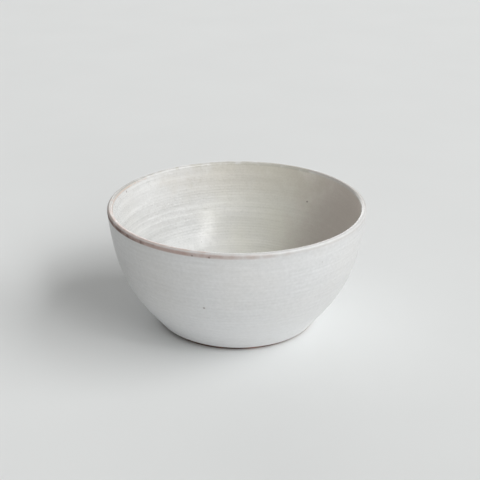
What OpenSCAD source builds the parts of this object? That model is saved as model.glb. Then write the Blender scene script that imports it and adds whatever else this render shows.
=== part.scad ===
// Breakfast bowl, thrown in stoneware and glazed inside and out.
// The clay is one thrown piece with a turned foot. Three glaze coats are fused to it: the liner over
// the inside and the top of the lip, the coat on the outer wall, and the band on the lip's outer edge
// where the glaze runs thin and breaks brown. The foot and the base are bare clay.
// Millimetres, Z up. The origin is the middle of the foot, on the surface that the bowl stands on.

/* [Overall size] */
// Finished diameter at the rim
rim_d = 150; // [120:1:185]
// Finished height, from the table to the top of the lip
height = 72; // [58:1:95]
// Diameter of the foot where the wall starts
foot_d = 90; // [70:1:108]

/* [Outer curve] */
// Angle from level at which the wall leaves the foot
flare_angle = 53; // [45:1:65]
// How far up the wall that angle is drawn on before it bends
flare_reach = 23.5; // [15:0.5:30]
// Angle from level of the wall under the lip
lean_angle = 85; // [80:1:89]
// How far down from the lip that angle is drawn on
lean_reach = 43.5; // [30:0.5:52]

/* [Wall and floor] */
// Thickness of the clay at the lip
lip_t = 2.4; // [2:0.1:4]
// Radius of the lip's two corners
lip_r = 1; // [0.4:0.05:2]
// Thickness of the clay wall where it leaves the foot
wall_t = 5; // [3.5:0.1:7]
// How far down from the lip the inside is drawn on at the lip's angle
inside_reach = 42; // [30:0.5:50]
// Thickness of the clay floor
floor_t = 6; // [4:0.1:9]
// Radius of the level middle of the floor
floor_r = 20; // [5:1:30]

/* [Foot] */
// Width of the ring that the bowl stands on
foot_ring_w = 7; // [4:0.5:14]
// Depth of the hollow turned into the base
hollow_h = 1.5; // [0.5:0.1:3]
// Radius of the corner where that hollow meets the ring
hollow_r = 1.2; // [0.2:0.1:3]
// Height and width of the bevel on the foot's outer edge
foot_bevel = 0.4; // [0.2:0.1:1]

/* [Glaze] */
// Thickness of each glaze coat
glaze_t = 0.4; // [0.2:0.05:0.8]
// Height of the bare clay under the outer glaze
bare_h = 1.5; // [0.6:0.1:3]
// How far the brown band runs down from the lip's corner
band_drop = 1.6; // [0.5:0.1:4]
// Angle from level to which the brown band wraps over the lip's corner
band_wrap = 80; // [10:5:85]

/* [Smoothness] */
// Straight steps that stand for each long curve
curve_steps = 48; // [24:4:96]
// Straight steps that stand for each small corner
corner_steps = 8; // [4:1:16]

/* [Hidden] */

// The unit step that heads at an angle from level
function heading(angle) = [cos(angle), sin(angle)];

// The same step turned a quarter to its right
function right_of(step) = [step.y, -step.x];

// The point at share t of the smooth curve that its control points draw
function curve_at(points, t) =
    len(points) == 1
        ? points[0]
        : curve_at([for (i = [1:len(points) - 1]) points[i - 1] * (1 - t) + points[i] * t], t);

// The unit step along that curve at share t
function curve_step(points, t) =
    let (way = curve_at([for (i = [1:len(points) - 1]) points[i] - points[i - 1]], t))
    way / norm(way);

// The curve as points, each moved to the right of its way by the thickness of a coat
function curve_line(points, coat) = [
    for (i = [0:curve_steps])
        let (t = i / curve_steps)
        curve_at(points, t) + coat * right_of(curve_step(points, t))
];

// An arc as points, from one angle to another
function arc_line(centre, radius, from, to) =
    [for (i = [0:corner_steps]) centre + radius * heading(from + (to - from) * i / corner_steps)];

// A list without its first point, for a line that goes on from where another ends
function onward(line) = [for (i = [1:len(line) - 1]) line[i]];

// A list from its last point to its first
function backward(line) = [for (i = [len(line) - 1:-1:0]) line[i]];

// Radii and heights of the bare clay, under its glaze
clay_rim_r = rim_d / 2 - glaze_t;
clay_h = height - glaze_t;
foot_r = foot_d / 2;
stand_r = foot_r - foot_bevel;
hollow_edge_r = stand_r - foot_ring_w;
floor_z = hollow_h + floor_t;

// A corner is no rounder than the clay that it is on
lip_round = min(lip_r, lip_t / 2);
hollow_round = min(hollow_r, hollow_h);

// The lip: the centres of its two corners, and the points where the walls run into them
lip_out = [clay_rim_r - lip_round, clay_h - lip_round];
lip_in = lip_out - [lip_t - 2 * lip_round, 0];
wall_top = lip_out + lip_round * heading(lean_angle - 90);
inside_top = lip_in + lip_round * heading(lean_angle + 90);

// The outer wall, drawn from the foot up to the lip
foot_edge = [foot_r, foot_bevel];
flare_end = foot_edge + flare_reach * heading(flare_angle);
outer_curve = [foot_edge, flare_end, wall_top - lean_reach * heading(lean_angle), wall_top];

// The inside, drawn from the lip down to the floor: its low end keeps the wall's thickness at the foot
wall_in = -wall_t * right_of(heading(flare_angle));
heel_rise = (floor_z - foot_edge.y - wall_in.y) / sin(flare_angle);
heel = foot_edge + wall_in + heel_rise * heading(flare_angle);
floor_edge = [floor_r, floor_z];
inner_curve = [
    inside_top,
    inside_top - inside_reach * heading(lean_angle),
    flare_end + wall_in,
    heel,
    floor_edge
];

// The height at which the outer glaze gives way to the brown band
band_z = lip_out.y - band_drop;

// The clay's surface, or a coat's, from the foot up to the top of the brown band
function outer_line(coat) = concat(
    curve_line(outer_curve, coat),
    onward(arc_line(lip_out, lip_round + coat, lean_angle - 90, band_wrap))
);

// The clay's surface, or a coat's, from the top of the brown band over the lip to the floor's middle
function inner_line(coat) = concat(
    arc_line(lip_out, lip_round + coat, band_wrap, 90),
    lip_in == lip_out ? [] : [lip_in + [0, lip_round + coat]],
    onward(arc_line(lip_in, lip_round + coat, 90, 90 + lean_angle)),
    onward(curve_line(inner_curve, coat)),
    [[0, floor_z + coat]]
);

// The under side, from the middle of the base to the foot's outer edge
base_line = concat(
    [[0, hollow_h]],
    backward(arc_line([hollow_edge_r - hollow_round, hollow_h - hollow_round], hollow_round, 0, 90)),
    hollow_round < hollow_h ? [[hollow_edge_r, 0]] : [],
    [[stand_r, 0]]
);

// Half of the section through a coat that lies on a line of the clay's surface
module coat_section(clay_line, face_line) {
    polygon(concat(clay_line, backward(face_line)));
}

// Half of the section through the coat on the outside, between two heights
module outer_section(low, high) {
    intersection() {
        coat_section(outer_line(0), outer_line(glaze_t));
        translate([0, low]) square([rim_d, high - low]);
    }
}

// The thrown clay, with its wall, floor, turned foot and hollow base
module stoneware_body() {
    color("#6f4a3c")
        rotate_extrude()
            polygon(concat(base_line, outer_line(0), onward(inner_line(0))));
}

// The liner glaze, over the inside and the top of the lip
module inner_glaze() {
    color("#d3d2c8")
        rotate_extrude()
            coat_section(inner_line(0), inner_line(glaze_t));
}

// The glaze on the outer wall, from just above the foot to the brown band
module outer_glaze() {
    color("#d6d6d3")
        rotate_extrude()
            outer_section(bare_h, band_z);
}

// The brown band of thin glaze on the lip's outer edge
module rim_glaze() {
    color("#8a6a5c")
        rotate_extrude()
            outer_section(band_z, height);
}

stoneware_body();
inner_glaze();
outer_glaze();
rim_glaze();
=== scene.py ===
"""Breakfast bowl, thrown in stoneware and glazed inside and out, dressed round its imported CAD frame.

The clay's section is one line, from the foot over the lip to the middle of the floor. Each glaze coat lies on
a stretch of that line at its own thickness, and a wheel spins every section into a closed mesh. Sections are
in millimetres, radius across and height up, and meshes are in metres.
"""

from __future__ import annotations

import logging
from dataclasses import dataclass
from enum import Enum
from functools import partial
from typing import Callable

import bpy
import numpy as np
from bpy.types import Material, NodeSocket, Object
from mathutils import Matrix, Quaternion, Vector

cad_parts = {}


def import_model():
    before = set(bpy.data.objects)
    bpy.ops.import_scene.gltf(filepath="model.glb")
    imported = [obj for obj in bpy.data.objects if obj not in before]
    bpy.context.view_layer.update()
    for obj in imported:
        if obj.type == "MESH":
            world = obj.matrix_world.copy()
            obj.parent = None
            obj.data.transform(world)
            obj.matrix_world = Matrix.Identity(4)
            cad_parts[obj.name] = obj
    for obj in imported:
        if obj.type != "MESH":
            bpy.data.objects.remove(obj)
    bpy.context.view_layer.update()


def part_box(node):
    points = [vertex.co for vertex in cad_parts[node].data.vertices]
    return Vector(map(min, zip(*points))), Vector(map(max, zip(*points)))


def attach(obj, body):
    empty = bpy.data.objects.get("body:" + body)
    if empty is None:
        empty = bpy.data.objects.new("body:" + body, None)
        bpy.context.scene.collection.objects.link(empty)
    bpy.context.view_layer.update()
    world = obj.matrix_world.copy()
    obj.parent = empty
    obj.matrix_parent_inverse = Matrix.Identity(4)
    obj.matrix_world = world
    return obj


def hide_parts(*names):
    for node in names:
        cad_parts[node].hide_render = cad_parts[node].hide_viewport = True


LOG = logging.getLogger("breakfast_bowl")
BODY = "root"
MM = 0.001
TURN = 2 * np.pi

# Names of the mesh data that the finishes read, and of the bake map
WHEEL_PLACE = "wheel_place"
GROOVE = "groove"
BAKE_MAP = "OFBake"

# Points of a section that lie nearer to each other than this are one point, mm
SAME_POINT = 1e-6

# What adds a node to one tree and gives the node's outputs
AddNode = Callable[..., bpy.types.bpy_prop_collection]


class Slot(Enum):
    """The record's material slots, one for each finish on the bowl."""

    BARE = "bare_stoneware"
    LINER = "liner_glaze"
    WALL = "wall_glaze"
    RIM = "broken_rim_glaze"


def heading(angle: float | np.ndarray) -> np.ndarray:
    """Gives the unit step at an angle from level, in degrees."""
    turned = np.radians(angle)
    return np.stack([np.cos(turned), np.sin(turned)], axis=-1)


def right_of(step: np.ndarray) -> np.ndarray:
    """Turns steps a quarter to their right."""
    return np.stack([step[..., 1], -step[..., 0]], axis=-1)


def unit(step: np.ndarray) -> np.ndarray:
    """Makes steps one unit long."""
    return step / np.linalg.norm(step, axis=-1, keepdims=True)


def smooth_rise(low: float, high: float, value: np.ndarray) -> np.ndarray:
    """Rises from 0 at low to 1 at high with no corner."""
    share = np.clip((value - low) / (high - low), 0, 1)
    return share * share * (3 - 2 * share)


def curve_at(points: list[np.ndarray], share: np.ndarray) -> np.ndarray:
    """Finds the points at shares of the way along the smooth curve that control points draw."""
    rows = [np.broadcast_to(point, (len(share), 2)) for point in points]
    ahead = share[:, None]
    while len(rows) > 1:
        rows = [near * (1 - ahead) + far * ahead for near, far in zip(rows, rows[1:])]
    return rows[0]


def add_object(name: str, data: bpy.types.ID) -> Object:
    """Makes an object of its data and puts it in the scene."""
    thing = bpy.data.objects.new(name, data)
    bpy.context.scene.collection.objects.link(thing)
    return thing


@dataclass(frozen=True)
class ClayLine:
    """The clay's surface in section, from the foot's edge over the lip to the middle of the floor.

    Attributes:
        along: Distance along the line at each point, mm.
        points: Radius and height of each point, mm.
        normals: Unit steps out of the clay.
    """

    along: np.ndarray
    points: np.ndarray
    normals: np.ndarray

    def raised(self, along: np.ndarray, coat: float | np.ndarray) -> tuple[np.ndarray, np.ndarray]:
        """Finds radii and heights of the face of a coat, at distances from the foot's edge."""
        point, normal = (
            np.stack([np.interp(along, self.along, rows[:, i]) for i in (0, 1)], axis=-1)
            for rows in (self.points, self.normals)
        )
        face = point + unit(normal) * np.asarray(coat)[..., None]
        return face[..., 0], face[..., 1]

    def wall_along(self, height: float) -> float:
        """Gives the distance at which the outer wall reaches a height, mm."""
        top = int(self.points[:, 1].argmax())
        return float(np.interp(height, self.points[: top + 1, 1], self.along[: top + 1]))

    def lip_along(self, angle: float) -> float:
        """Gives the distance at which the clay over the lip faces an angle from level, in degrees."""
        facing = np.degrees(np.arctan2(self.normals[:, 1], self.normals[:, 0]))
        inside = int(facing.argmax()) + 1
        return float(np.interp(angle, facing[:inside], self.along[:inside]))


@dataclass(frozen=True)
class BowlForm:
    """The bowl's section in millimetres and degrees, under its glaze unless said otherwise.

    Attributes:
        rim_r: Finished radius at the rim.
        height: Finished height.
        glaze_t: Thickness of each glaze coat.
        bare_h: Height of the bare clay under the outer glaze.
        band_z: Height at which the outer glaze gives way to the brown band.
        foot_r: Radius at which the wall starts.
        flare_angle: Angle from level at which the wall leaves the foot.
        flare_reach: How far that angle is drawn on.
        lean_angle: Angle from level of the wall under the lip.
        lean_reach: How far down from the lip that angle is drawn on.
        lip_t: Thickness at the lip.
        lip_r: Radius of the lip's two corners.
        wall_t: Thickness of the wall where it leaves the foot.
        inside_reach: How far down the inside is drawn on at the lip's angle.
        floor_t: Thickness of the floor.
        floor_r: Radius of the level middle of the floor.
        foot_ring_w: Width of the ring that the bowl stands on.
        hollow_h: Depth of the hollow in the base.
        hollow_r: Radius of the hollow's corner.
        foot_bevel: Height of the rounded edge under the wall.
        foot_round: Radius of the ring's inner edge.
        band_wrap: Angle from level to which the brown band wraps over the lip's corner.
        curve_steps: Points on each long curve.
        corner_steps: Points on each small corner.
    """

    rim_r: float
    height: float
    glaze_t: float
    bare_h: float
    band_z: float
    foot_r: float = 45.0
    flare_angle: float = 53.0
    flare_reach: float = 23.5
    lean_angle: float = 85.0
    lean_reach: float = 43.5
    lip_t: float = 2.4
    lip_r: float = 1.0
    wall_t: float = 5.0
    inside_reach: float = 42.0
    floor_t: float = 6.0
    floor_r: float = 20.0
    foot_ring_w: float = 7.0
    hollow_h: float = 1.5
    hollow_r: float = 1.2
    foot_bevel: float = 0.4
    foot_round: float = 0.3
    band_wrap: float = 80.0
    curve_steps: int = 600
    corner_steps: int = 60

    @classmethod
    def from_frame(cls) -> BowlForm:
        """Takes the overall sizes and the glaze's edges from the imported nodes."""
        rim_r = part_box("rim_glaze")[1].x / MM
        outer_low, outer_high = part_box("outer_glaze")
        return cls(
            rim_r=rim_r,
            height=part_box("inner_glaze")[1].z / MM,
            glaze_t=rim_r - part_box("stoneware_body")[1].x / MM,
            bare_h=outer_low.z / MM,
            band_z=outer_high.z / MM,
        )

    @property
    def floor_z(self) -> float:
        """Height of the clay floor, mm."""
        return self.hollow_h + self.floor_t

    @property
    def lip_out(self) -> np.ndarray:
        """Centre of the lip's outer corner."""
        return np.array([self.rim_r, self.height]) - self.glaze_t - self.lip_r

    @property
    def foot_edge(self) -> np.ndarray:
        """Point at which the outer wall starts."""
        return np.array([self.foot_r, self.foot_bevel])

    def curve(self, points: list[np.ndarray]) -> tuple[np.ndarray, np.ndarray]:
        """Draws a long curve, with the clay to its left: its points and the steps out of the clay there."""
        share = np.linspace(0, 1, self.curve_steps)
        way = curve_at([far - near for near, far in zip(points, points[1:])], share)
        return curve_at(points, share), right_of(unit(way))

    def corner(self, centre: np.ndarray, start: float, end: float) -> tuple[np.ndarray, np.ndarray]:
        """Draws a corner of the lip between two angles: its points and the steps out of the clay there."""
        out = heading(np.linspace(start, end, self.corner_steps))
        return centre + self.lip_r * out, out

    def clay_line(self) -> ClayLine:
        """Draws the clay's surface from the foot over the lip to the middle of the floor."""
        lean, flare = heading(self.lean_angle), heading(self.flare_angle)
        wall_top = self.lip_out + self.lip_r * heading(self.lean_angle - 90)
        lip_in = self.lip_out - [self.lip_t - 2 * self.lip_r, 0]
        inside_top = lip_in + self.lip_r * heading(self.lean_angle + 90)
        flare_end = self.foot_edge + self.flare_reach * flare
        wall_in = -self.wall_t * right_of(flare)
        heel_rise = (self.floor_z - self.foot_edge[1] - wall_in[1]) / flare[1]
        heel = self.foot_edge + wall_in + heel_rise * flare
        floor_edge = np.array([self.floor_r, self.floor_z])
        inside = [inside_top, inside_top - self.inside_reach * lean, flare_end + wall_in, heel, floor_edge]
        stretches = [
            self.curve([self.foot_edge, flare_end, wall_top - self.lean_reach * lean, wall_top]),
            self.corner(self.lip_out, self.lean_angle - 90, 90),
            self.corner(lip_in, 90, 90 + self.lean_angle),
            self.curve(inside),
            (np.array([[0.0, self.floor_z]]), np.array([[0.0, 1.0]])),
        ]
        points, normals = (np.concatenate([stretch[i] for stretch in stretches]) for i in (0, 1))
        steps = np.linalg.norm(np.diff(points, axis=0), axis=1)
        apart = np.concatenate([[True], steps > SAME_POINT])
        along = np.concatenate([[0.0], np.cumsum(steps)])
        return ClayLine(along[apart], points[apart], normals[apart])

    def base_line(self) -> np.ndarray:
        """Draws the under side, from the hollow's corner over the ring to the foot's edge."""
        flare = np.radians(self.flare_angle)
        edge_r = self.foot_bevel / (1 - np.cos(flare))
        edge_centre = self.foot_edge + [-edge_r * np.sin(flare), edge_r - self.foot_bevel]
        inner_r = self.foot_r - self.foot_bevel - self.foot_ring_w
        hollow_centre = np.array([inner_r - self.hollow_r, self.hollow_h - self.hollow_r])
        ring_centre = np.array([inner_r, 0.0]) + self.foot_round
        steps = self.corner_steps // 4
        return np.concatenate(
            [
                hollow_centre + self.hollow_r * heading(np.linspace(90, 0, steps)),
                ring_centre + self.foot_round * heading(np.linspace(180, 270, steps)),
                edge_centre + edge_r * heading(np.linspace(270, 270 + self.flare_angle, steps)),
            ]
        )


@dataclass(frozen=True)
class ThrowingMarks:
    """Spiral grooves that fingers leave in a turning wall, with finer lines dragged between them.

    Attributes:
        pitch: Distance between grooves, mm.
        depth: Depth of a full groove, mm.
        fine_pitch: Distance between the finer lines, mm.
        fine_depth: Depth of those, mm.
        seed: Seed of the marks' irregularity.
        waves: Count of waves that make the marks irregular.
        drift: How far a groove wanders, as a share of the pitch.
        strength: Middle and swing of a groove's strength.
        fine_strength: Middle and swing of a finer line's strength.
    """

    pitch: float
    depth: float
    fine_pitch: float
    fine_depth: float
    seed: int
    waves: int = 6
    drift: float = 0.25
    strength: tuple[float, float] = (0.6, 0.35)
    fine_strength: tuple[float, float] = (0.5, 0.4)

    @property
    def deepest(self) -> float:
        """Depth of the deepest mark, mm."""
        return self.depth + self.fine_depth

    def uneven(
        self, along: np.ndarray, turn: np.ndarray, length: float, draw: np.random.Generator
    ) -> np.ndarray:
        """Makes an irregular wave over the wall.

        Args:
            along: Distance along the section, mm.
            turn: Angle round the wheel, radians.
            length: Typical length of a wave along the section, mm.
            draw: Source of the irregularity.

        Returns:
            Values mostly from -1 to 1.
        """
        total = np.zeros(np.broadcast(along, turn).shape)
        for _ in range(self.waves):
            wave = TURN * along / (length * draw.uniform(0.6, 1.6))
            total = total + np.cos(wave + draw.integers(-2, 3) * turn + draw.uniform(0, TURN))
        return total / np.sqrt(self.waves)

    def depth_at(self, along: np.ndarray, turn: np.ndarray) -> np.ndarray:
        """Gives the depth of the marks, mm.

        Args:
            along: Distance along the section, mm.
            turn: Angle round the wheel, radians.

        Returns:
            Depths under the face that the wheel would leave with no marks.
        """
        draw = np.random.default_rng(self.seed)
        # Grooves wander over about six pitches, and come and go over about four
        wander = self.drift * self.uneven(along, turn, 6 * self.pitch, draw)
        middle, swing = self.strength
        strength = np.clip(middle + swing * self.uneven(along, turn, 4 * self.pitch, draw), 0, 1)
        groove = 0.5 - 0.5 * np.cos(TURN * (along / self.pitch + wander) - turn)
        middle, swing = self.fine_strength
        fine = np.clip(middle + swing * self.uneven(along, turn, self.fine_pitch, draw), 0, 1)
        return self.depth * strength * groove + self.fine_depth * fine


@dataclass(frozen=True)
class Section:
    """A section to spin, which may differ a little round the wheel.

    Attributes:
        radius: Radius, one row for each step of the wheel and one column for each point, mm.
        height: Height in the same layout, mm.
        along: Distance along the clay's line in the same layout, mm.
        groove: Depth of the marks as a share of the deepest, in the same layout.
        shown: Share of the bake map that the step from each point earns for its length.
        poles: Heights at which the section starts and ends on the axis, or None if its ends join.
    """

    radius: np.ndarray
    height: np.ndarray
    along: np.ndarray
    groove: np.ndarray
    shown: np.ndarray
    poles: tuple[float, float] | None


@dataclass(frozen=True)
class Wheel:
    """The wheel that every section is spun on, with the slight unroundness of a hand-made bowl.

    Attributes:
        segments: Steps round the wheel.
        height: Height of the bowl, mm.
        out_of_round: Most that the rim lies inside a true circle, mm.
        out_of_level: Most that the rim dips under a true level, mm.
        sharp_angle: Angle over which an edge is a true corner, degrees.
    """

    segments: int
    height: float
    out_of_round: float = 0.25
    out_of_level: float = 0.5
    sharp_angle: float = 35.0

    @property
    def turn(self) -> np.ndarray:
        """Angles of the wheel's steps in radians, as a column."""
        return (np.arange(self.segments) * TURN / self.segments)[:, None]

    @property
    def map_lefts(self) -> np.ndarray:
        """Left sides of the wheel's steps on the bake map, from 0 to 1."""
        return np.arange(self.segments) / self.segments

    def settled(self, radius: np.ndarray, height: np.ndarray) -> tuple[np.ndarray, np.ndarray]:
        """Gives radii and heights the unroundness that handling leaves, growing from none at the foot."""
        share = np.clip(height / self.height, 0, 1)
        # Slow waves round the rim: how far it is pressed in and how far it dips, as shares of the most
        oval = 0.5 - 0.4 * np.cos(2 * self.turn) + 0.1 * np.cos(5 * self.turn + 2.1)
        dip = 0.45 + 0.25 * np.cos(self.turn - 5.5) + 0.3 * np.cos(2 * self.turn - 5.0)
        return radius - self.out_of_round * oval * share**2, height - self.out_of_level * dip * share**3

    def map_rises(self, section: Section) -> np.ndarray:
        """Gives the height on the bake map of each point of a section, from 0 to 1."""
        outline = np.stack([section.radius[0], section.height[0]], axis=1)
        shown = section.shown
        if section.poles is None:
            outline = np.concatenate([outline, outline[:1]])
        else:
            start, end = section.poles
            outline = np.concatenate([[[0.0, start]], outline, [[0.0, end]]])
            shown = np.concatenate([shown[:1], shown])
        reach = np.cumsum(np.linalg.norm(np.diff(outline, axis=0), axis=1) * shown)
        return np.concatenate([[0.0], reach / reach[-1]])

    def wall(self, rings: np.ndarray, rises: np.ndarray) -> tuple[list, np.ndarray]:
        """Joins rings of points into the wall between them.

        Args:
            rings: Number of each point, one row for each step of the wheel and one column for each ring.
            rises: Height of each ring on the bake map.

        Returns:
            The faces, and the places of their corners on the bake map.
        """
        beside = np.roll(rings, -1, axis=0)
        faces = np.stack([rings[:, :-1], beside[:, :-1], beside[:, 1:], rings[:, 1:]], axis=-1)
        left, low, high = np.broadcast_arrays(self.map_lefts[:, None], rises[:-1], rises[1:])
        right = left + 1 / self.segments
        corners = np.stack([left, low, right, low, right, high, left, high], axis=-1)
        return faces.reshape(-1, 4).tolist(), corners.reshape(-1, 2)

    def fan(self, ring: np.ndarray, pole: int, rises: np.ndarray, starts: bool) -> tuple[list, np.ndarray]:
        """Closes the wall to a pole on the axis.

        Args:
            ring: Numbers of the points next to the pole, by wheel step.
            pole: Number of the pole.
            rises: Heights of the ring and of the pole on the bake map.
            starts: Whether the section starts at that pole.

        Returns:
            The faces, and the places of their corners on the bake map.
        """
        left = self.map_lefts
        sides = [(ring, left), (np.roll(ring, -1), left + 1 / self.segments)]
        (near, near_side), (far, far_side) = sides[::-1] if starts else sides
        faces = np.stack([near, far, np.full(self.segments, pole)], axis=-1)
        low, high = (np.full(self.segments, rise) for rise in rises)
        middle = left + 0.5 / self.segments
        corners = np.stack([near_side, low, far_side, low, middle, high], axis=-1)
        return faces.tolist(), corners.reshape(-1, 2)

    def spin(self, name: str, section: Section) -> Object:
        """Spins a section into a closed mesh with its bake map and the data that the finishes read.

        Args:
            name: Name of the new object.
            section: What to spin, with the clay or glaze to the left of its way.

        Returns:
            The new object, in the scene.
        """
        radius, height = self.settled(section.radius, section.height)
        turn = np.broadcast_to(self.turn, radius.shape)
        places = np.stack([radius * np.cos(turn), radius * np.sin(turn), height], axis=-1).reshape(-1, 3)
        wheel = np.stack([np.cos(turn), np.sin(turn), section.along], axis=-1).reshape(-1, 3)
        groove = section.groove.ravel()
        rises = self.map_rises(section)
        rings = np.arange(radius.size).reshape(radius.shape)
        if section.poles is None:
            parts = [self.wall(np.concatenate([rings, rings[:, :1]], axis=1), rises)]
        else:
            ends = [0, -1]
            places = np.concatenate([places, [[0.0, 0.0, pole] for pole in section.poles]])
            wheel = np.concatenate([wheel, [[0.0, 0.0, along] for along in section.along[0, ends]]])
            groove = np.concatenate([groove, section.groove[0, ends]])
            parts = [
                self.wall(rings, rises[1:-1]),
                self.fan(rings[:, 0], radius.size, rises[[1, 0]], starts=True),
                self.fan(rings[:, -1], radius.size + 1, rises[[-2, -1]], starts=False),
            ]
        mesh = bpy.data.meshes.new(name)
        mesh.from_pydata((places * MM).tolist(), [], [face for faces, _ in parts for face in faces])
        for label, kind, prop, values in (
            (WHEEL_PLACE, "FLOAT_VECTOR", "vector", wheel),
            (GROOVE, "FLOAT", "value", groove),
        ):
            data = mesh.attributes.new(label, kind, "POINT").data
            data.foreach_set(prop, values.astype(np.float32).ravel())
        flat_map = mesh.uv_layers.new(name=BAKE_MAP)
        corners = np.concatenate([corner for _, corner in parts])
        flat_map.uv.foreach_set("vector", corners.astype(np.float32).ravel())
        mesh.shade_smooth()
        mesh.set_sharp_from_angle(angle=np.radians(self.sharp_angle))
        mesh.validate()
        return add_object(name, mesh)


def linear(code: str) -> tuple[float, float, float, float]:
    """Turns an sRGB hex colour, #rrggbb, into the linear red, green, blue and alpha that shaders take."""
    levels = [int(code[i : i + 2], 16) / 255 for i in (1, 3, 5)]
    red, green, blue = (v / 12.92 if v <= 0.04045 else ((v + 0.055) / 1.055) ** 2.4 for v in levels)
    return red, green, blue, 1.0


def add_node(
    tree: bpy.types.NodeTree, kind: str, inputs: dict, **settings: object
) -> bpy.types.bpy_prop_collection:
    """Adds a node with its settings and links.

    Args:
        tree: The tree to add it to.
        kind: The node's type.
        inputs: For each input, by name or number, a value or the output that feeds it.
        **settings: The node's own properties.

    Returns:
        The node's outputs.
    """
    node = tree.nodes.new(kind)
    for name, value in settings.items():
        setattr(node, name, value)
    for key, source in inputs.items():
        if isinstance(source, NodeSocket):
            tree.links.new(source, node.inputs[key])
        else:
            node.inputs[key].default_value = source
    return node.outputs


def new_material(name: str) -> tuple[Material, AddNode, NodeSocket]:
    """Starts a material, and gives it with what adds its nodes and with the place on the object, m."""
    material = bpy.data.materials.new(name)
    material.use_nodes = True
    material.node_tree.nodes.clear()
    node = partial(add_node, material.node_tree)
    return material, node, node("ShaderNodeTexCoord", {})["Object"]


def end_material(node: AddNode, looks: dict) -> None:
    """Adds the shader with the looks of a material, and the output that shows it."""
    shader = node("ShaderNodeBsdfPrincipled", looks)[0]
    node("ShaderNodeOutputMaterial", {"Surface": shader})


@dataclass(frozen=True)
class BareStoneware:
    """Iron-bearing stoneware, turned when leather-hard and fired bare.

    It gives the eye a dry reddish brown with no gloss, darker in the turning lines, with paler grit, and with
    painted shade on the side away from the light.

    Attributes:
        name: Material and how its surface was made.
        clay: Colour of the fired clay.
        painted_shade: Colour of the painted shade, where the foot lies in the bowl's shadow.
        shade_way: Direction of the side that the painted shade lies on, degrees from +X.
        shade_side_share: How far that side's painted shade goes beyond the clouding.
        shade_span: Levels of the clouding between which the clay goes to the painted shade.
        grit: Colour of the coarser grains.
        grit_mm: Size of those grains.
        grit_span: Levels of the grain between which they show.
        grit_share: How far they go towards their colour.
        cloud_mm: Size of the random clouding in the painted shade.
        roughness: Roughness of the dry surface.
        ior: Index of refraction of the fired clay.
        grain_depth_mm: Depth of the grain.
    """

    name: str = "stoneware_turned_and_bare"
    clay: str = "#a8775f"
    painted_shade: str = "#40261f"
    shade_way: float = 215.0
    shade_side_share: float = 0.4
    shade_span: tuple[float, float] = (0.3, 0.75)
    grit: str = "#b0907e"
    grit_mm: float = 0.7
    grit_span: tuple[float, float] = (0.58, 0.72)
    grit_share: float = 0.8
    cloud_mm: float = 14.0
    roughness: float = 0.85
    ior: float = 1.5
    grain_depth_mm: float = 0.04

    def material(self) -> Material:
        """Makes the material."""
        material, node, place = new_material(self.name)
        wheel = node("ShaderNodeAttribute", {}, attribute_name=WHEEL_PLACE)["Vector"]
        cloud, grain = (
            node("ShaderNodeTexNoise", {"Vector": place, "Scale": 1 / (size * MM), "Detail": detail})[0]
            for size, detail in ((self.cloud_mm, 4.0), (self.grit_mm, 3.0))
        )
        # Painted shade: the clay goes dark on the side away from the light, where the foot lies in the bowl's
        # shadow, mixed with random clouding
        way = (*heading(self.shade_way).tolist(), 0.0)
        side = node("ShaderNodeVectorMath", {0: wheel, 1: way}, operation="DOT_PRODUCT")["Value"]
        shaded = node("ShaderNodeMath", {0: side, 1: self.shade_side_share, 2: cloud}, operation="MULTIPLY_ADD")[0]
        colour = linear(self.clay)
        for pattern, (low, high), share, tone in (
            (shaded, self.shade_span, 1.0, self.painted_shade),
            (grain, self.grit_span, self.grit_share, self.grit),
        ):
            amount = node("ShaderNodeMapRange", {0: pattern, 1: low, 2: high, 4: share})[0]
            colour = node("ShaderNodeMix", {0: amount, 6: colour, 7: linear(tone)}, data_type="RGBA")[2]
        bump = node("ShaderNodeBump", {"Height": grain, "Distance": self.grain_depth_mm * MM})[0]
        looks = {"Base Color": colour, "Roughness": self.roughness, "IOR": self.ior, "Normal": bump}
        end_material(node, looks)
        return material


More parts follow.
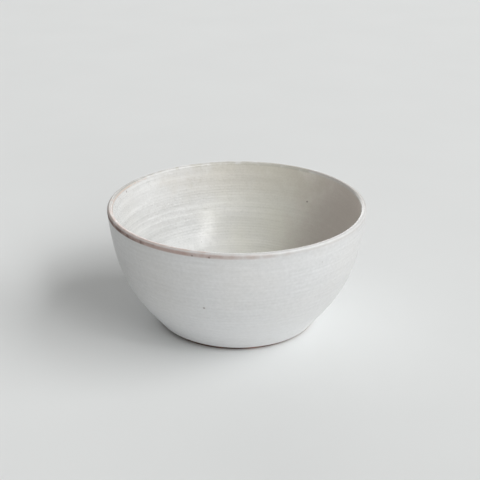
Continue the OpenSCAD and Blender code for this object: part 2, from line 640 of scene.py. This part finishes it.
@dataclass(frozen=True)
class GlazeBreakOrPaintedLight:
    """A stretch on which the glaze lies thicker or thinner, goes to the clay's iron, or takes painted light
    or painted shade.

    It is the same all round the bowl, or it fades out in patches to either side of one direction.

    Attributes:
        colour: Colour that the glaze goes to there.
        share: How far it goes towards that colour at most.
        low: Distance along the section at which it starts, mm.
        peak: Distances between which it is strongest, mm.
        high: Distance at which it ends, mm.
        way: Direction in which it is strongest, degrees from +X.
        spread: Angle from there at which it has faded out, degrees, or None if it is the same all round.
        full_share: Share of that angle over which it keeps its full strength.
        patch_mm: Size of the patches that it fades in.
        ragged: How far those patches shift its fading.
    """

    colour: str
    share: float
    low: float
    peak: tuple[float, float]
    high: float
    way: float = 0.0
    spread: float | None = None
    full_share: float = 0.3
    patch_mm: float = 5.0
    ragged: float = 0.8

    def amount(self, node: AddNode, place: NodeSocket, wheel: NodeSocket) -> NodeSocket:
        """Adds the nodes that say how far the glaze goes to the colour.

        Args:
            node: Adds a node to the material.
            place: Place on the bowl, m.
            wheel: Place on the wheel, as the meshes carry it.

        Returns:
            The share of the colour.
        """
        smooth = {"interpolation_type": "SMOOTHSTEP"}
        along = node("ShaderNodeSeparateXYZ", {0: wheel})[2]
        rise, fall = (
            node("ShaderNodeMapRange", {0: along, 1: end, 2: peak}, **smooth)[0]
            for end, peak in zip((self.low, self.high), self.peak)
        )
        band = node("ShaderNodeMath", {0: rise, 1: fall}, operation="MINIMUM")[0]
        strength: float | NodeSocket = self.share
        if self.spread is not None:
            way = (*heading(self.way).tolist(), 0.0)
            side = node("ShaderNodeVectorMath", {0: wheel, 1: way}, operation="DOT_PRODUCT")["Value"]
            patches = {"Vector": place, "Scale": 1 / (self.patch_mm * MM), "Detail": 4.0}
            patch = node("ShaderNodeTexNoise", patches)[0]
            shifted = node("ShaderNodeMath", {0: patch, 1: self.ragged, 2: side}, operation="MULTIPLY_ADD")[0]
            angles = np.radians([self.spread, self.full_share * self.spread])
            faded, full = np.cos(angles) + self.ragged / 2
            fading = {0: shifted, 1: faded, 2: full, 4: self.share}
            strength = node("ShaderNodeMapRange", fading, **smooth)[0]
        return node("ShaderNodeMath", {0: band, 1: strength}, operation="MULTIPLY")[0]


@dataclass(frozen=True)
class SatinGlaze:
    """Opaque white stoneware glaze, poured on a thrown wall and fired to a satin or a soft gloss.

    It gives the eye a soft grainy off-white, greyer where the coat stretches thin over the ridges of the
    throwing marks, with a broken soft gloss, edges that break brown and here and there a speck of iron.
    The values given here are those of the outer wall.

    Attributes:
        name: Material and how its surface was made.
        thick: Colour where the coat lies thick.
        thin: Colour where it stretches thin.
        warm: Colour of its faint warm clouds.
        ring_share: How far the throwing marks swing it between thick and thin.
        ring_middle: Depth of the marks at their middle, as a share of the deepest.
        streak_mm: Width of the streaks that run round the bowl.
        streak_turns: How often a streak breaks round the bowl.
        streak_share: How far they swing it.
        grain_mm: Size of its grain, drawn as coarse as the picture can show.
        grain_share: How far the grain swings it.
        cloud_mm: Size of the clouds.
        cloud_share: How far a cloud goes towards the warm colour.
        cloud_span: Levels of the clouding between which a cloud shows.
        peel_mm: Size of the dimples in the surface.
        peel_depth_mm: Depth of those.
        roughness: Roughness of the glaze.
        roughness_swing: How far it swings either way.
        rough_span: Levels of the grain between which it swings.
        drawn_gloss: How far the fine lines round the wall draw its gloss out.
        upright: Turn of that drawing from round the wall to up and down it, as a share of a full turn.
        toned_stretches: Stretches in other colours: thick, thin or broken glaze, and painted light and shade.
        stretch_roughness: Roughness that a full stretch adds.
        specks: Places of its larger iron specks, mm.
        speck_mm: Radius of a speck.
        speck_gap_mm: Typical distance between the small specks.
        speck_share: How far a small speck goes to iron.
        large_speck_share: How far a larger one does.
        iron: Colour of the specks.
        ior: Index of refraction of the glaze.
    """

    name: str = "stoneware_glaze_poured_on_wall"
    thick: str = "#d5d6d7"
    thin: str = "#bfc0c0"
    warm: str = "#d4d1cc"
    ring_share: float = 0.35
    ring_middle: float = 0.35
    streak_mm: float = 1.6
    streak_turns: float = 4.0
    streak_share: float = 0.3
    grain_mm: float = 1.7
    grain_share: float = 0.42
    cloud_mm: float = 35.0
    cloud_share: float = 0.2
    cloud_span: tuple[float, float] = (0.42, 0.68)
    peel_mm: float = 1.3
    peel_depth_mm: float = 0.009
    roughness: float = 0.42
    roughness_swing: float = 0.05
    rough_span: tuple[float, float] = (0.3, 0.7)
    drawn_gloss: float = 0.0
    upright: float = 0.25
    toned_stretches: tuple[GlazeBreakOrPaintedLight, ...] = ()
    stretch_roughness: float = 0.2
    specks: tuple[tuple[float, float, float], ...] = (
        (-17.6, -66.3, 36.6),
        (-23.4, -71.2, 69.5),
        (-14.4, -73.5, 69.4),
    )
    speck_mm: float = 0.4
    speck_gap_mm: float = 16.0
    speck_share: float = 0.6
    large_speck_share: float = 0.8
    iron: str = "#5a463c"
    ior: float = 1.52

    def thinness(self, node: AddNode, wheel: NodeSocket, grain: NodeSocket) -> NodeSocket:
        """Adds the nodes that say how thin the coat lies, by the throwing marks, the streaks and the grain.

        Args:
            node: Adds a node to the material.
            wheel: Place on the wheel, as the meshes carry it.
            grain: The grain's pattern.

        Returns:
            The share of the thin colour.
        """
        groove = node("ShaderNodeAttribute", {}, attribute_name=GROOVE)["Fac"]
        drawn_out = (self.streak_turns, self.streak_turns, 1 / self.streak_mm)
        round_wall = node("ShaderNodeVectorMath", {0: wheel, 1: drawn_out}, operation="MULTIPLY")[0]
        streak = node("ShaderNodeTexNoise", {"Vector": round_wall, "Scale": 1.0, "Detail": 2.0})[0]
        # Half way between thick and thin where marks, streaks and grain are all at their middle
        total = 0.5 + self.ring_middle * self.ring_share - self.streak_share - self.grain_share
        swings = ((groove, -self.ring_share), (streak, 2 * self.streak_share), (grain, 2 * self.grain_share))
        for pattern, swing in swings:
            total = node("ShaderNodeMath", {0: pattern, 1: swing, 2: total}, operation="MULTIPLY_ADD")[0]
        return total

    def speckle(self, node: AddNode, place: NodeSocket) -> NodeSocket:
        """Adds the nodes that say how far the colour goes to iron, in small specks and in the placed ones.

        Args:
            node: Adds a node to the material.
            place: Place on the bowl, m.

        Returns:
            The share of iron.
        """
        # A speck fades out over the outer part of its radius, and a placed one is twice as wide
        cells = {"Vector": place, "Scale": 1 / (self.speck_gap_mm * MM)}
        gap = node("ShaderNodeTexVoronoi", cells)["Distance"]
        reach = self.speck_mm / self.speck_gap_mm
        share = node("ShaderNodeMapRange", {0: gap, 1: reach, 2: 0.4 * reach, 4: self.speck_share})[0]
        reach = self.speck_mm * MM
        for speck in self.specks:
            middle = tuple(v * MM for v in speck)
            gap = node("ShaderNodeVectorMath", {0: place, 1: middle}, operation="DISTANCE")["Value"]
            larger = {0: gap, 1: 2 * reach, 2: 0.5 * reach, 4: self.large_speck_share}
            near = node("ShaderNodeMapRange", larger)[0]
            share = node("ShaderNodeMath", {0: share, 1: near}, operation="MAXIMUM")[0]
        return share

    def material(self) -> Material:
        """Makes the material."""
        material, node, place = new_material(self.name)
        wheel = node("ShaderNodeAttribute", {}, attribute_name=WHEEL_PLACE)["Vector"]
        grain, peel, cloud = (
            node("ShaderNodeTexNoise", {"Vector": place, "Scale": 1 / (size * MM), "Detail": detail})[0]
            for size, detail in ((self.grain_mm, 2.0), (self.peel_mm, 2.0), (self.cloud_mm, 3.0))
        )
        low, high = self.cloud_span
        clouded = node("ShaderNodeMapRange", {0: cloud, 1: low, 2: high, 4: self.cloud_share})[0]
        # The stretches' shares and colours, which carry broken glaze as well as painted light and shade
        broken = [(stretch.amount(node, place, wheel), stretch.colour) for stretch in self.toned_stretches]
        layers = [(self.thinness(node, wheel, grain), self.thin), (clouded, self.warm), *broken]
        layers.append((self.speckle(node, place), self.iron))
        colour = linear(self.thick)
        for share, tone in layers:
            colour = node("ShaderNodeMix", {0: share, 6: colour, 7: linear(tone)}, data_type="RGBA")[2]
        low, high = self.rough_span
        least, most = self.roughness - self.roughness_swing, self.roughness + self.roughness_swing
        rough = node("ShaderNodeMapRange", {0: grain, 1: low, 2: high, 3: least, 4: most})[0]
        for share, _ in broken:
            added = {0: share, 1: self.stretch_roughness, 2: rough}
            rough = node("ShaderNodeMath", added, operation="MULTIPLY_ADD")[0]
        looks = {
            "Base Color": colour,
            "Roughness": rough,
            "IOR": self.ior,
            "Normal": node("ShaderNodeBump", {"Height": peel, "Distance": self.peel_depth_mm * MM})[0],
            "Anisotropic": self.drawn_gloss,
            "Anisotropic Rotation": self.upright,
        }
        end_material(node, looks)
        return material


@dataclass(frozen=True)
class PaintedFloor:
    """Smooth board painted matt, which gives the eye an even pale grey.

    Attributes:
        name: Material and how its surface was made.
        paint: Colour of the paint.
        shade: Colour of its faint unevenness.
        cloud_mm: Size of that.
        roughness: Roughness of the paint.
    """

    name: str = "board_painted_matt"
    paint: str = "#dfe1e1"
    shade: str = "#dbdddd"
    cloud_mm: float = 90.0
    roughness: float = 0.9

    def material(self) -> Material:
        """Makes the material."""
        material, node, place = new_material(self.name)
        cloud = node("ShaderNodeTexNoise", {"Vector": place, "Scale": 1 / (self.cloud_mm * MM)})[0]
        tones = {0: cloud, 6: linear(self.paint), 7: linear(self.shade)}
        colour = node("ShaderNodeMix", tones, data_type="RGBA")[2]
        end_material(node, {"Base Color": colour, "Roughness": self.roughness})
        return material


@dataclass
class BowlPiece:
    """One piece of the bowl.

    Attributes:
        node: Name of the CAD node that it stands for.
        slot: The record's slot for its finish; not used.
        form: The bowl's section.
        line: The clay's surface.
        wheel: What spins it.
    """

    node: str
    slot: Slot
    form: BowlForm
    line: ClayLine
    wheel: Wheel

    def section(self) -> Section:
        """Draws the piece's section."""
        raise NotImplementedError

    def finish(self) -> Material:
        """Makes the piece's material."""
        raise NotImplementedError

    def add(self) -> None:
        """Builds the piece, dresses it and puts it in the frame."""
        piece = self.wheel.spin(f"{self.node}_dressed", self.section())
        piece.data.materials.append(self.finish())
        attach(piece, BODY)
        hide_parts(self.node)
        LOG.info("%s: %d faces", piece.name, len(piece.data.polygons))


@dataclass
class StonewareBody(BowlPiece):
    """The thrown clay, bare on the base and the foot and plain under its glaze.

    Attributes:
        base_marks: Lines that the turning tool leaves in the hollow.
        mark_fade: Distance over which those fade out towards the ring, mm.
        base_step: Step between points in the hollow, mm.
        wall_step: Step between points under the glaze, mm.
        hidden_share: Share of the bake map that clay under the glaze earns for its length.
    """

    base_marks: ThrowingMarks = ThrowingMarks(pitch=3.1, depth=0.12, fine_pitch=1.0, fine_depth=0.05, seed=11)
    mark_fade: float = 4.8
    base_step: float = 0.25
    wall_step: float = 1.2
    hidden_share: float = 0.15

    def section(self) -> Section:
        """Draws the clay from the middle of the base over the lip to the middle of the floor."""
        base = self.form.base_line()
        hollow_r = np.arange(self.base_step, base[0, 0], self.base_step)
        hollow = np.stack([hollow_r, np.full(len(hollow_r), self.form.hollow_h)], axis=1)
        under = np.concatenate([hollow, base[:-1]])
        steps = np.linalg.norm(np.diff(np.concatenate([under, base[-1:]]), axis=0), axis=1)
        reach = np.cumsum(steps[::-1])[::-1]
        marks = self.base_marks.depth_at(under[:, 0], self.wheel.turn)
        marks = marks * smooth_rise(base[0, 0], base[0, 0] - self.mark_fade, under[:, 0])
        wall = np.arange(0, self.line.along[-1] - self.wall_step, self.wall_step)
        radius, height = self.line.raised(wall, 0.0)
        rows = (self.wheel.segments, 1)
        bare = self.line.wall_along(self.form.bare_h) + 2 * self.wall_step
        shown = np.concatenate([np.ones(len(under)), np.where(wall < bare, 1.0, self.hidden_share)])
        return Section(
            radius=np.tile(np.concatenate([under[:, 0], radius]), rows),
            height=np.concatenate([under[:, 1] + marks, np.tile(height, rows)], axis=1),
            along=np.tile(np.concatenate([-reach, wall]), rows),
            groove=np.concatenate([marks / self.base_marks.deepest, np.zeros((rows[0], len(wall)))], axis=1),
            shown=shown,
            poles=(self.form.hollow_h, self.form.floor_z),
        )

    def finish(self) -> Material:
        """Makes the bare clay."""
        return BareStoneware().material()


@dataclass
class GlazeCoat(BowlPiece):
    """A glaze coat on a stretch of the clay, with the marks that show through it.

    Attributes:
        start: Distance along the clay at which it starts, mm.
        end: Distance at which it ends, mm.
        step: Step between points on its face, mm.
        under_step: Step between points on its under side, mm.
        fade: Distance over which its marks fade out at the ends, mm.
        hidden_share: Share of the bake map that the under side earns for its length.
        marks: The throwing marks that show through.
    """

    start: float
    end: float
    step: float = 0.3
    under_step: float = 2.5
    fade: float = 5.0
    hidden_share: float = 0.1
    marks: ThrowingMarks | None = None

    def face_along(self) -> np.ndarray:
        """Gives distances along the clay of the face's points, by wheel step and point."""
        count = int((self.end - self.start) / self.step)
        return np.tile(np.linspace(self.start, self.end, count), (self.wheel.segments, 1))

    def thickness(self, along: np.ndarray, depth: np.ndarray) -> np.ndarray:
        """Gives the coat's thickness at distances along the clay, less the depth of the marks there, mm."""
        return self.form.glaze_t - depth

    def mark_depth(self, along: np.ndarray) -> np.ndarray:
        """Gives the depth of the marks, fading out at the coat's ends, mm."""
        if self.marks is None:
            return np.zeros(along.shape)
        fading = smooth_rise(self.start, self.start + self.fade, along)
        fading = fading * smooth_rise(self.end, self.end - self.fade, along)
        return self.marks.depth_at(along, self.wheel.turn) * fading

    def lip_breaks_and_painted_shade(self) -> tuple[GlazeBreakOrPaintedLight, ...]:
        """Gives the stretches on which the lip's glaze is broken or takes painted shade, which cross from the
        band to the liner.
        """
        lip, edge = self.line.lip_along, self.line.lip_along(0.0)
        inside = lip(174)
        return (
            GlazeBreakOrPaintedLight("#c2c0bb", 0.3, lip(35), (lip(65), lip(125)), lip(168)),
            GlazeBreakOrPaintedLight("#9f9d97", 0.8, lip(20), (lip(60), lip(115)), lip(158), way=176, spread=56),
            GlazeBreakOrPaintedLight("#bf9f88", 0.5, lip(130), (lip(150), lip(168)), inside + 0.4, way=176, spread=42),
            # Brown edge at the back right, and painted shade that keeps the lip's top there as dark as the
            # shaded inside
            GlazeBreakOrPaintedLight("#84786c", 0.55, lip(5), (lip(35), lip(112)), lip(172), way=36, spread=46, ragged=0.2),
            # Painted shade on the lip's top at the back, where the light would leave a white line
            GlazeBreakOrPaintedLight("#aeab9e", 0.55, lip(10), (lip(40), lip(165)), inside + 1.0, way=80, spread=34),
            GlazeBreakOrPaintedLight("#b3968a", 0.55, lip(40), (lip(65), lip(140)), lip(165), way=222, spread=48),
            GlazeBreakOrPaintedLight("#a2958c", 0.2, edge - 1.0, (edge - 0.4, lip(10)), lip(45), way=310, spread=75),
            GlazeBreakOrPaintedLight("#8a5d48", 0.64, edge - 2.0, (edge - 1.0, lip(5)), lip(65), way=205, spread=94),
            # Darkest brown on the left: partly the iron break, partly painted shade on the rim's shaded side
            GlazeBreakOrPaintedLight("#543c33", 0.82, edge - 2.0, (edge - 1.0, lip(0)), lip(50), way=190, spread=44),
        )

    def section(self) -> Section:
        """Draws the coat: up its under side against the way, then along its face."""
        along = self.face_along()
        depth = self.mark_depth(along)
        share = np.linspace(1, 0, int((self.end - self.start) / self.under_step))
        under = along[:, :1] + (along[:, -1:] - along[:, :1]) * share
        face_r, face_z = self.line.raised(along, self.thickness(along, depth))
        under_r, under_z = self.line.raised(under, 0.0)
        deepest = self.marks.deepest if self.marks else 1.0
        poles = None
        keep_face, keep_under = slice(None), slice(None)
        if face_r[0, -1] == 0:
            poles = (float(under_z[0, 0]), float(face_z[0, -1]))
            keep_face, keep_under = slice(None, -1), slice(1, None)
        joined = [
            np.concatenate([below[:, keep_under], above[:, keep_face]], axis=1)
            for below, above in (
                (under_r, face_r),
                (under_z, face_z),
                (under, along),
                (np.zeros(under.shape), depth / deepest),
            )
        ]
        hidden = under[:, keep_under].shape[1]
        shown = np.where(np.arange(joined[0].shape[1]) < hidden, self.hidden_share, 1.0)
        return Section(*joined, shown=shown, poles=poles)


@dataclass
class InnerGlaze(GlazeCoat):
    """The liner glaze over the inside and the top of the lip."""

    def tones_and_painted_light(self) -> tuple[GlazeBreakOrPaintedLight, ...]:
        """Gives the inside's tones by side, with painted light and painted shade on its left."""
        lip, middle = self.line.lip_along(165.0), float(self.line.along[-1])
        under_lip, high = (lip + 1, lip + 6), (lip + 2, lip + 8)
        wall, low = (lip + 1, middle - 25), (middle - 68, middle - 40)
        return (
            GlazeBreakOrPaintedLight("#e2e1d2", 0.7, lip - 1, wall, middle, way=5, spread=125, patch_mm=18.0),
            GlazeBreakOrPaintedLight("#c6b4b1", 0.52, lip - 1, wall, middle, way=-5, spread=75, ragged=0.4),
            GlazeBreakOrPaintedLight("#b3ab9b", 0.38, lip - 1, under_lip, lip + 30, way=85, spread=50, patch_mm=12.0),
            # Painted light under the lip on the left, where the window lights the inside
            GlazeBreakOrPaintedLight("#f0f1f1", 0.12, lip - 1, high, lip + 20, way=145, spread=55, ragged=0.3),
            # Painted shade low on the left, which dims the window's reflection there
            GlazeBreakOrPaintedLight("#aeb0af", 0.48, middle - 84, low, middle, way=145, spread=45, ragged=0.3),
        )

    def finish(self) -> Material:
        """Makes the liner glaze."""
        return SatinGlaze(
            name="stoneware_glaze_poured_as_liner",
            thick="#e4e5e5",
            thin="#babbba",
            warm="#d0ccc4",
            ring_share=0.4,
            streak_mm=2.2,
            streak_turns=3.5,
            streak_share=0.25,
            grain_mm=1.1,
            grain_share=0.7,
            cloud_mm=30.0,
            cloud_share=0.12,
            peel_mm=1.2,
            peel_depth_mm=0.02,
            roughness=0.27,
            drawn_gloss=0.4,
            stretch_roughness=0.06,
            toned_stretches=(*self.tones_and_painted_light(), *self.lip_breaks_and_painted_shade()),
            specks=((-66.5, 26.4, 68.8), (44.1, 53.1, 52.1)),
        ).material()


@dataclass
class OuterGlaze(GlazeCoat):
    """The glaze on the outer wall, with a rounded uneven edge above the foot.

    Attributes:
        edge_w: Width over which the coat rounds down to the clay at its lower edge, mm.
        edge_steps: Points on that rounding.
        edge_lift: Angle on that rounding at which the first point lies, degrees.
        tilt: How far the lower edge rises on its high side and drops on the other, mm.
        high_way: Direction of the high side, degrees from +X.
        waver: How far the lower edge wanders besides, mm.
        waves: Waves of that wandering, each with its count round the bowl, phase and size.
    """

    edge_w: float = 0.8
    edge_steps: int = 8
    edge_lift: float = 8.0
    tilt: float = 1.2
    high_way: float = 196.0
    waver: float = 0.12
    waves: tuple[tuple[int, float, float], ...] = ((3, 0.6, 1.0), (7, 2.2, 0.7), (13, 4.0, 0.5))

    def tones_and_painted_light(self) -> tuple[GlazeBreakOrPaintedLight, ...]:
        """Gives the painted light that the floor throws on the wall towards the foot, and painted shade high
        on the left.
        """
        return (
            # Painted light from the floor: whiter towards the foot all round, more on the right
            GlazeBreakOrPaintedLight("#e6e7e8", 0.45, -1.0, (3.0, 14.0), 50.0),
            GlazeBreakOrPaintedLight("#eff0f0", 0.2, -1.0, (0.5, 8.0), 22.0, way=348, spread=58, ragged=0.3),
            # Painted shade on the upper wall's left side, away from the window
            GlazeBreakOrPaintedLight("#b4b3b0", 0.14, 30.0, (58.0, 90.0), 120.0, way=195, spread=75, patch_mm=18.0),
        )

    def lower_edge(self) -> np.ndarray:
        """Gives the distance along the clay of the lower edge, by wheel step."""
        turn = self.wheel.turn
        # The edge rides highest on the shaded left, so the wider strip of dark bare clay there is partly
        # painted shade for the shadow under the wall
        high_side = np.cos(turn - np.radians(self.high_way))
        wander = sum(size * np.cos(count * turn + phase) for count, phase, size in self.waves)
        most = sum(size for _, _, size in self.waves)
        return self.start + self.tilt * high_side + self.waver * wander / most

    def face_along(self) -> np.ndarray:
        """Gives distances along the clay of the face's points, close together on the rounded edge."""
        edge = self.lower_edge()
        lift = np.radians(np.linspace(self.edge_lift, 90, self.edge_steps))
        rounded = edge + self.edge_w * (1 - np.cos(lift))
        count = int((self.end - self.start - self.edge_w) / self.step)
        share = np.linspace(0, 1, count)[1:]
        return np.concatenate([rounded, rounded[:, -1:] + (self.end - rounded[:, -1:]) * share], axis=1)

    def thickness(self, along: np.ndarray, depth: np.ndarray) -> np.ndarray:
        """Gives the coat's thickness, rounded down to the clay at the lower edge, mm."""
        inset = np.clip((along - self.lower_edge()) / self.edge_w, 0, 1)
        return (self.form.glaze_t - depth) * np.sqrt(1 - (1 - inset) ** 2)

    def finish(self) -> Material:
        """Makes the outer wall's glaze."""
        return SatinGlaze(toned_stretches=self.tones_and_painted_light(), stretch_roughness=0.0).material()


@dataclass
class RimGlaze(GlazeCoat):
    """The band of thin glaze on the lip's outer edge."""

    def finish(self) -> Material:
        """Makes the broken glaze of the band."""
        return SatinGlaze(name="stoneware_glaze_broken_on_rim", toned_stretches=self.lip_breaks_and_painted_shade()).material()


@dataclass(frozen=True)
class ViewCamera:
    """A camera on a tripod in front of the bowl.

    Attributes:
        lens: Focal length, mm.
        sensor: Width of the sensor, mm.
        aim: Point that it is aimed at, mm.
        distance: Distance from there, mm.
        elevation: Angle above level, degrees.
    """

    lens: float = 85.0
    sensor: float = 36.0
    aim: tuple[float, float, float] = (1.8, 0.0, 48.36)
    distance: float = 666.5
    elevation: float = 22.96

    def add(self) -> None:
        """Adds the camera to the scene and makes it the one that renders."""
        data = bpy.data.cameras.new("view_camera")
        data.lens = self.lens
        data.sensor_width = self.sensor
        camera = add_object("view_camera", data)
        level, up = heading(self.elevation)
        back = Vector((0.0, -level, up))
        camera.location = (Vector(self.aim) + back * self.distance) * MM
        camera.rotation_euler = (-back).to_track_quat("-Z", "Y").to_euler()
        bpy.context.scene.camera = camera


@dataclass(frozen=True)
class SoftLight:
    """A large even light that the camera doesn't see.

    Attributes:
        name: Name of the lamp.
        place: Its middle, m.
        facing: Direction that it shines in.
        size: Its width and height, m.
        radiance: How bright its face is, where 1 is a white board in full light.
        lean: How far its top leans to the left, seen from the bowl, degrees.
    """

    name: str
    place: tuple[float, float, float]
    facing: tuple[float, float, float]
    size: tuple[float, float]
    radiance: float
    lean: float = 0.0

    def add(self) -> None:
        """Adds the lamp to the scene."""
        data = bpy.data.lights.new(self.name, "AREA")
        data.shape = "RECTANGLE"
        data.size, data.size_y = self.size
        data.energy = self.radiance * np.pi * data.size * data.size_y
        lamp = add_object(self.name, data)
        lamp.location = self.place
        leaned = Quaternion((0.0, 0.0, 1.0), -np.radians(self.lean))
        lamp.rotation_euler = (Vector(self.facing).to_track_quat("-Z", "Y") @ leaned).to_euler()
        lamp.visible_camera = False


@dataclass(frozen=True)
class Studio:
    """A pale floor beside a large window, with smaller lights round it and the room's own light.

    Attributes:
        lights: The window, the strip that draws a streak inside, the reflector in front and the light behind.
        room: Colour of the light from all round.
        backdrop: Colour that the camera sees past the floor.
        floor_size: Width of the floor, m.
        floor_gap: How far the floor lies under the foot, mm.
    """

    lights: tuple[SoftLight, ...] = (
        SoftLight("window", (9.6, -1.7, 9.1), (-0.72, 0.13, -0.68), (11.3, 8.4), radiance=3.95),
        SoftLight("strip", (6.7, -8.5, 7.9), (-0.5, 0.64, -0.59), (2.4, 7.4), radiance=9.6, lean=32.0),
        SoftLight("reflector", (3.6, -12.7, 2.3), (-0.27, 0.95, -0.17), (10.8, 3.3), radiance=4.0),
        SoftLight("back_light", (-1.2, 8.7, 2.1), (0.13, -0.97, -0.22), (9.0, 3.2), radiance=2.8),
    )
    room: str = "#91908e"
    backdrop: str = "#dedede"
    floor_size: float = 5.0
    floor_gap: float = 0.05

    def add_floor(self) -> None:
        """Adds the floor that the bowl stands on."""
        half = self.floor_size / 2
        around = ((-half, -half), (half, -half), (half, half), (-half, half))
        mesh = bpy.data.meshes.new("floor")
        mesh.from_pydata([(x, y, -self.floor_gap * MM) for x, y in around], [], [(0, 1, 2, 3)])
        mesh.materials.append(PaintedFloor().material())
        floor = add_object("floor", mesh)

    def add_room(self) -> None:
        """Adds the room's light, and the pale backdrop that the camera and reflections see."""
        world = bpy.data.worlds.new("room")
        bpy.context.scene.world = world
        world.use_nodes = True
        world.node_tree.nodes.clear()
        node = partial(add_node, world.node_tree)
        path = node("ShaderNodeLightPath", {})
        seen = path["Is Camera Ray"]
        for ray in ("Is Glossy Ray", "Is Transmission Ray"):
            seen = node("ShaderNodeMath", {0: seen, 1: path[ray]}, operation="MAXIMUM")[0]
        tones = {0: seen, 6: linear(self.room), 7: linear(self.backdrop)}
        level = node("ShaderNodeMix", tones, data_type="RGBA")[2]
        light = node("ShaderNodeBackground", {"Color": level})[0]
        node("ShaderNodeOutputWorld", {"Surface": light})

    def add(self) -> None:
        """Adds the floor and the lights, and sets how colours are shown."""
        self.add_floor()
        self.add_room()
        for light in self.lights:
            light.add()
        bpy.context.scene.view_settings.view_transform = "Standard"


def main() -> None:
    """Builds the bowl and its studio."""
    logging.basicConfig(level=logging.INFO, format="%(message)s")
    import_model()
    ViewCamera().add()
    Studio().add()
    form = BowlForm.from_frame()
    line = form.clay_line()
    wheel = Wheel(segments=384, height=form.height)
    bare, band = line.wall_along(form.bare_h), line.wall_along(form.band_z)
    wrap, middle = line.lip_along(form.band_wrap), float(line.along[-1])
    shared = {"form": form, "line": line, "wheel": wheel}
    StonewareBody("stoneware_body", Slot.BARE, **shared).add()
    InnerGlaze(
        "inner_glaze",
        Slot.LINER,
        **shared,
        start=wrap,
        end=middle,
        marks=ThrowingMarks(pitch=5.3, depth=0.05, fine_pitch=1.3, fine_depth=0.03, seed=3),
    ).add()
    OuterGlaze(
        "outer_glaze",
        Slot.WALL,
        **shared,
        start=bare,
        end=band,
        marks=ThrowingMarks(pitch=2.6, depth=0.03, fine_pitch=0.9, fine_depth=0.02, seed=7),
    ).add()
    RimGlaze("rim_glaze", Slot.RIM, **shared, start=band, end=wrap, step=0.06, under_step=0.3).add()


if __name__ == "__main__":
    main()
